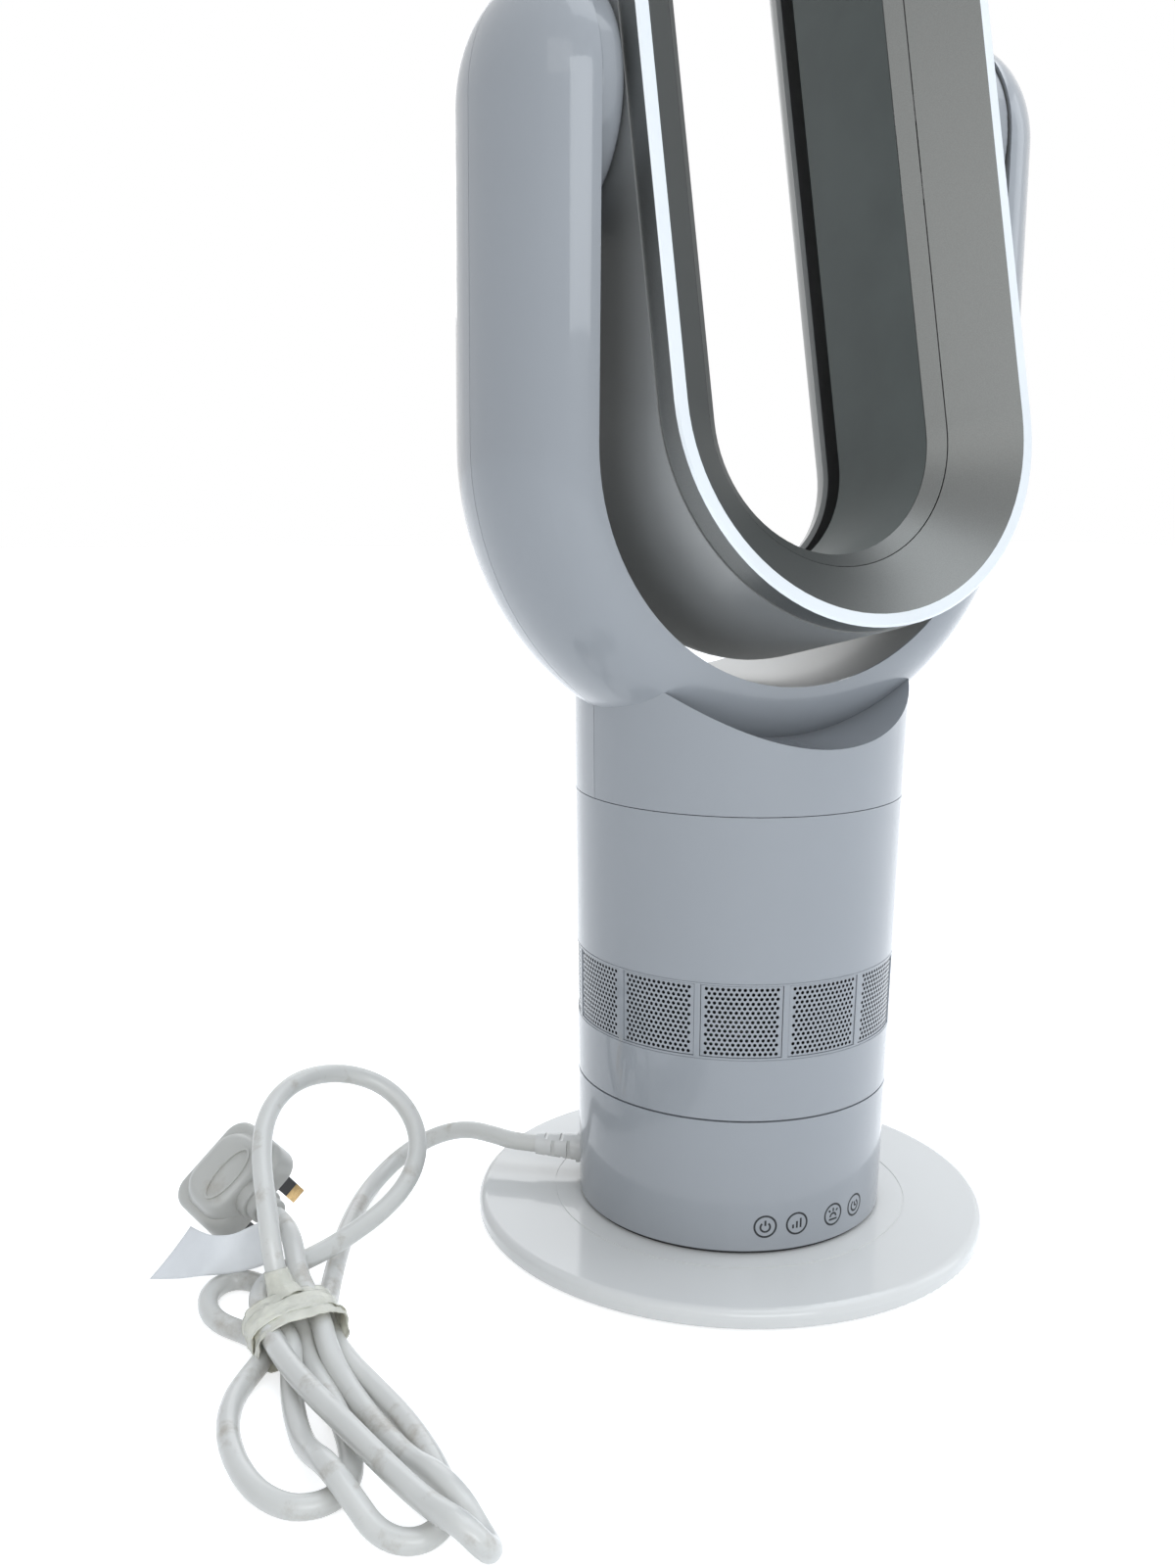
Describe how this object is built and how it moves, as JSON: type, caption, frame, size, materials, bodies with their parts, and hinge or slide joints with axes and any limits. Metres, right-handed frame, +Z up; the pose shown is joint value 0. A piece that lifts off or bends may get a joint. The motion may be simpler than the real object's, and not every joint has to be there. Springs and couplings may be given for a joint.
{
  "type": "bladeless fan",
  "caption": "Pedestal fan without open blades: a tall oval air loop that tilts in a U-shaped yoke on a turning column, on a round base plate, with a bundled mains lead.",
  "frame": {"origin": "on the floor, under the middle of the round base plate", "axes": "+Z up along the column; the air leaves the loop towards -Y; the arms of the yoke stand towards -X and +X"},
  "size_m": [0.3559, 0.273, 0.6291],
  "materials": {
    "white_shell": "gloss",
    "silver": "satin",
    "bronze_grey": "satin",
    "dark_guide": "satin",
    "black_plastic": "matte",
    "natural_nylon": "matte",
    "symbol_grey": "matte",
    "steel": "brushed",
    "cast_ballast": "rough",
    "board_green": "gloss",
    "motor_can": "satin",
    "rubber_black": "matte",
    "rubber_grey": "matte",
    "lead_sheath": "satin",
    "wire_black": "satin",
    "tape_clear": "gloss",
    "paper_white": "matte",
    "plug_moulding": "satin",
    "brass": "polished"
  },
  "bodies": {
    "base": {"base_plate": "white_shell", "ballast_disc": "cast_ballast", "foot_pads": "rubber_grey", "base_screws": "steel", "base_chassis": "black_plastic", "base_shell": "white_shell", "touch_symbols": "symbol_grey", "control_board": "board_green", "touch_pads": "rubber_grey", "power_board": "board_green", "inner_mains_lead": "wire_black", "swing_lead": "wire_black", "bearing_deck": "black_plastic", "deck_screws": "steel", "slide_ring": "natural_nylon", "spindle_bush": "natural_nylon", "swing_motor": "motor_can", "cord_gland": "white_shell", "mains_lead": "lead_sheath", "cord_loops": "lead_sheath", "cord_tail": "lead_sheath", "cord_hank": "lead_sheath", "cord_tape": "tape_clear", "cord_tag": "paper_white", "plug_body": "plug_moulding", "plug_pins": "brass", "plug_pin_sleeves": "rubber_black"},
    "pinion": {"swing_pinion": "natural_nylon"},
    "turret": {"turntable": "black_plastic", "spindle_clip": "steel", "swing_gear": "natural_nylon", "motor_driver_board": "board_green", "driver_lead": "wire_black", "column_shell": "white_shell", "grille_panels": "white_shell", "grille_frame": "black_plastic", "column_screws": "steel", "blower_housing": "black_plastic", "motor_lead": "wire_black", "stator_vanes": "black_plastic", "blower_motor": "motor_can", "motor_mounts": "rubber_black", "motor_bearings": "steel", "yoke_front_shell": "white_shell", "yoke_rear_shell": "white_shell", "yoke_screws": "steel", "yoke_liner": "bronze_grey", "hub_bushes": "natural_nylon", "duct_seal": "dark_guide"},
    "rotor": {"impeller": "black_plastic", "rotor_shaft": "steel"},
    "head": {"loop_front_ring": "silver", "loop_inner_bezel": "silver", "loop_inner_wall": "dark_guide", "loop_rear_shell": "bronze_grey", "hub_domes": "white_shell", "trunnions": "steel", "trunnion_clips": "steel", "tilt_washers": "natural_nylon", "hub_screws": "steel"}
  },
  "joints": [
    {"name": "swing", "type": "hinge", "parent": "base", "child": "turret", "pos_m": [0, 0, 0.0627], "axis": [0, 0, 1], "range_deg": [-45, 45]},
    {"name": "pinion_turn", "type": "hinge", "parent": "base", "child": "pinion", "pos_m": [0, 0.0375, 0.06], "axis": [0, 0, 1], "range_deg": [-271, 271]},
    {"name": "tilt", "type": "hinge", "parent": "turret", "child": "head", "pos_m": [0, 0, 0.4292], "axis": [-1, 0, 0], "range_deg": [-22.9, 7.1]},
    {"name": "blower", "type": "hinge", "parent": "turret", "child": "rotor", "pos_m": [0, 0, 0.14], "axis": [0, 0, 1], "continuous": true}
  ],
  "couplings": [
    {"joint": "pinion_turn", "follows": "swing", "ratio": 6}
  ]
}
